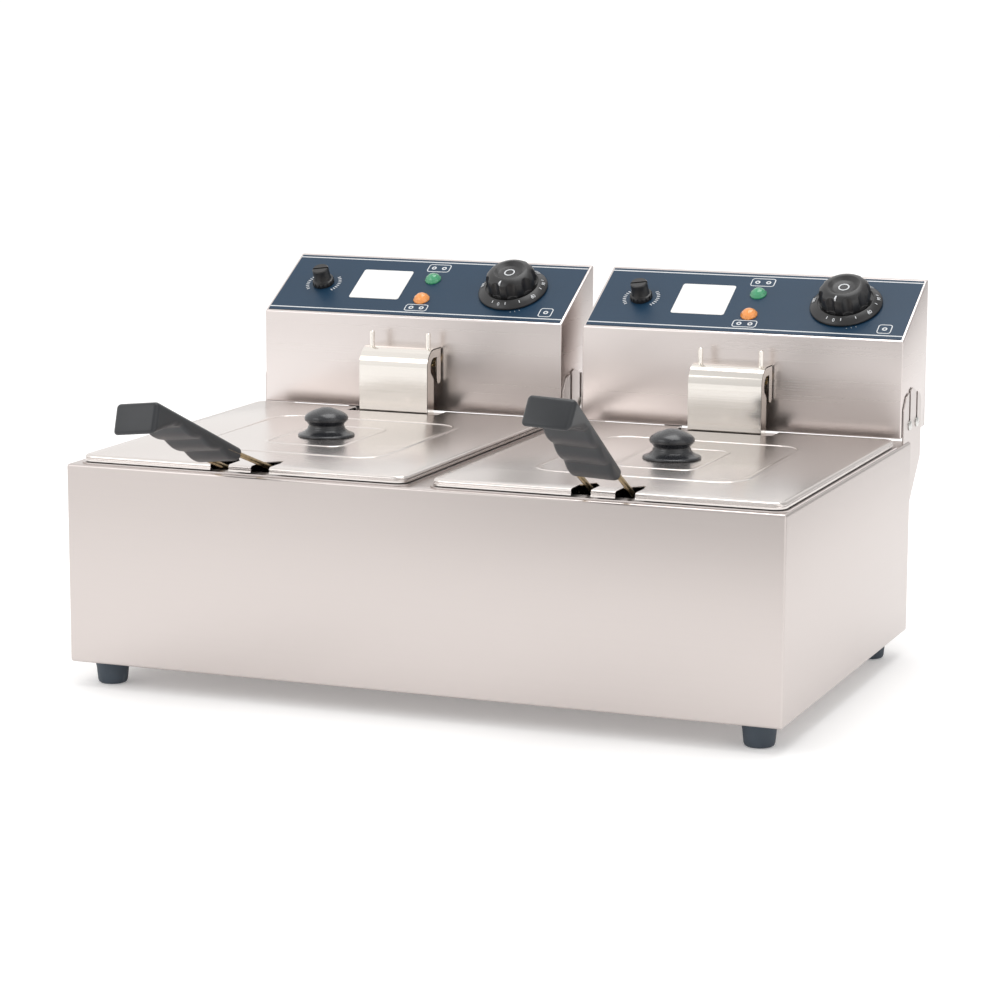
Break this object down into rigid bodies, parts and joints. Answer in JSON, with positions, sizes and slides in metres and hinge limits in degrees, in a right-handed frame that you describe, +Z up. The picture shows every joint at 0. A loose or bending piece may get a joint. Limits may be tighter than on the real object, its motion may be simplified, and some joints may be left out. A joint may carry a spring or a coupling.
{
  "type": "deep fryer",
  "caption": "Countertop twin-tank deep fryer: steel case on rubber feet, lift-out tanks, wire baskets with grips, lids with knobs, and lift-off control heads with dials and lamps.",
  "frame": {"origin": "on the worktop, at the centre of the whole fryer's outline seen from above, handles included", "axes": "+X to the right of someone facing the front, +Y to the back, +Z up"},
  "size_m": [0.55, 0.5152, 0.294],
  "materials": {
    "steel": "brushed stainless sheet, grain along the sheet",
    "bright_steel": "bright polished stainless",
    "zinc": "zinc-plated steel",
    "rubber": "matt blue-grey rubber",
    "knob_black": "glossy dark grey phenolic",
    "dial_black": "satin black plastic",
    "grip": "charcoal plastic, half gloss",
    "basket_wire": "nickel-plated wire",
    "basket_mesh": "nickel-plated wire mesh, drawn as a thin wall",
    "handle_wire": "brassy plated wire",
    "overlay": "dark blue printed film",
    "lamp_green": "clear green plastic",
    "lamp_amber": "clear amber plastic",
    "button_red": "red plastic",
    "bakelite": "brown phenolic",
    "element": "oxidised alloy tube",
    "brass": "brass",
    "gland": "black nylon",
    "ceramic": "ivory ceramic",
    "copper": "copper"
  },
  "bodies": {
    "base": {"case_shell": "steel", "top_deck": "steel", "bottom_plate": "steel", "rear_panel": "steel", "head_hangers": "steel", "hanger_screws": "zinc", "rubber_feet": "rubber", "foot_screws": "zinc"},
    "left_tank": {"left_oil_tank": "steel"},
    "left_head": {"left_head_shell": "steel", "left_head_back_cover": "steel", "left_panel_overlay": "overlay", "left_thermostat": "zinc", "left_green_lamp": "lamp_green", "left_amber_lamp": "lamp_amber", "left_limiter": "bakelite", "left_heating_element": "element", "left_element_nuts": "brass", "left_element_shield": "bright_steel", "left_hanger_studs": "zinc", "left_cord_gland": "gland", "left_terminal_block": "ceramic", "left_sensor_bulbs": "copper"},
    "left_basket": {"left_basket_mesh": "basket_mesh", "left_basket_frame": "basket_wire", "left_handle_wires": "handle_wire", "left_handle_grip": "grip"},
    "left_lid_body": {"left_lid": "steel", "left_lid_knob": "knob_black", "left_lid_knob_screw": "zinc"},
    "left_dial": {"left_thermostat_knob": "dial_black"},
    "left_cap": {"left_reset_cap": "dial_black"},
    "left_button": {"left_reset_button": "button_red"},
    "right_tank": {"right_oil_tank": "steel"},
    "right_head": {"right_head_shell": "steel", "right_head_back_cover": "steel", "right_panel_overlay": "overlay", "right_thermostat": "zinc", "right_green_lamp": "lamp_green", "right_amber_lamp": "lamp_amber", "right_limiter": "bakelite", "right_heating_element": "element", "right_element_nuts": "brass", "right_element_shield": "bright_steel", "right_hanger_studs": "zinc", "right_cord_gland": "gland", "right_terminal_block": "ceramic", "right_sensor_bulbs": "copper"},
    "right_basket": {"right_basket_mesh": "basket_mesh", "right_basket_frame": "basket_wire", "right_handle_wires": "handle_wire", "right_handle_grip": "grip"},
    "right_lid_body": {"right_lid": "steel", "right_lid_knob": "knob_black", "right_lid_knob_screw": "zinc"},
    "right_dial": {"right_thermostat_knob": "dial_black"},
    "right_cap": {"right_reset_cap": "dial_black"},
    "right_button": {"right_reset_button": "button_red"}
  },
  "joints": [
    {"name": "left_tank_lift", "type": "slide", "parent": "base", "child": "left_tank", "axis": [0, 0, 1], "range_m": [0, 0.15]},
    {"name": "left_head_lift", "type": "slide", "parent": "left_tank", "child": "left_head", "axis": [0, 0, 1], "range_m": [0, 0.15]},
    {"name": "left_basket_lift", "type": "slide", "parent": "left_head", "child": "left_basket", "axis": [0, 0, 1], "range_m": [0, 0.13]},
    {"name": "left_lid_lift", "type": "slide", "parent": "left_basket", "child": "left_lid_body", "axis": [0, 0, 1], "range_m": [0, 0.12]},
    {"name": "left_dial_turn", "type": "hinge", "parent": "left_head", "child": "left_dial", "pos_m": [-0.0615, 0.2198, 0.26805], "axis": [0, -0.4848, 0.8746], "range_deg": [-270, 0]},
    {"name": "left_cap_turn", "type": "hinge", "parent": "left_head", "child": "left_cap", "pos_m": [-0.2295, 0.21854, 0.26723], "axis": [0, -0.4848, 0.8746], "continuous": true},
    {"name": "left_button_press", "type": "slide", "parent": "left_head", "child": "left_button", "axis": [0, 0.4848, -0.8746], "range_m": [0, 0.002], "stiffness_N_per_m": 400},
    {"name": "right_tank_lift", "type": "slide", "parent": "base", "child": "right_tank", "axis": [0, 0, 1], "range_m": [0, 0.15]},
    {"name": "right_head_lift", "type": "slide", "parent": "right_tank", "child": "right_head", "axis": [0, 0, 1], "range_m": [0, 0.15]},
    {"name": "right_basket_lift", "type": "slide", "parent": "right_head", "child": "right_basket", "axis": [0, 0, 1], "range_m": [0, 0.13]},
    {"name": "right_lid_lift", "type": "slide", "parent": "right_basket", "child": "right_lid_body", "axis": [0, 0, 1], "range_m": [0, 0.12]},
    {"name": "right_dial_turn", "type": "hinge", "parent": "right_head", "child": "right_dial", "pos_m": [0.2165, 0.2198, 0.26805], "axis": [0, -0.4848, 0.8746], "range_deg": [-270, 0]},
    {"name": "right_cap_turn", "type": "hinge", "parent": "right_head", "child": "right_cap", "pos_m": [0.0485, 0.21854, 0.26723], "axis": [0, -0.4848, 0.8746], "continuous": true},
    {"name": "right_button_press", "type": "slide", "parent": "right_head", "child": "right_button", "axis": [0, 0.4848, -0.8746], "range_m": [0, 0.002], "stiffness_N_per_m": 400}
  ]
}
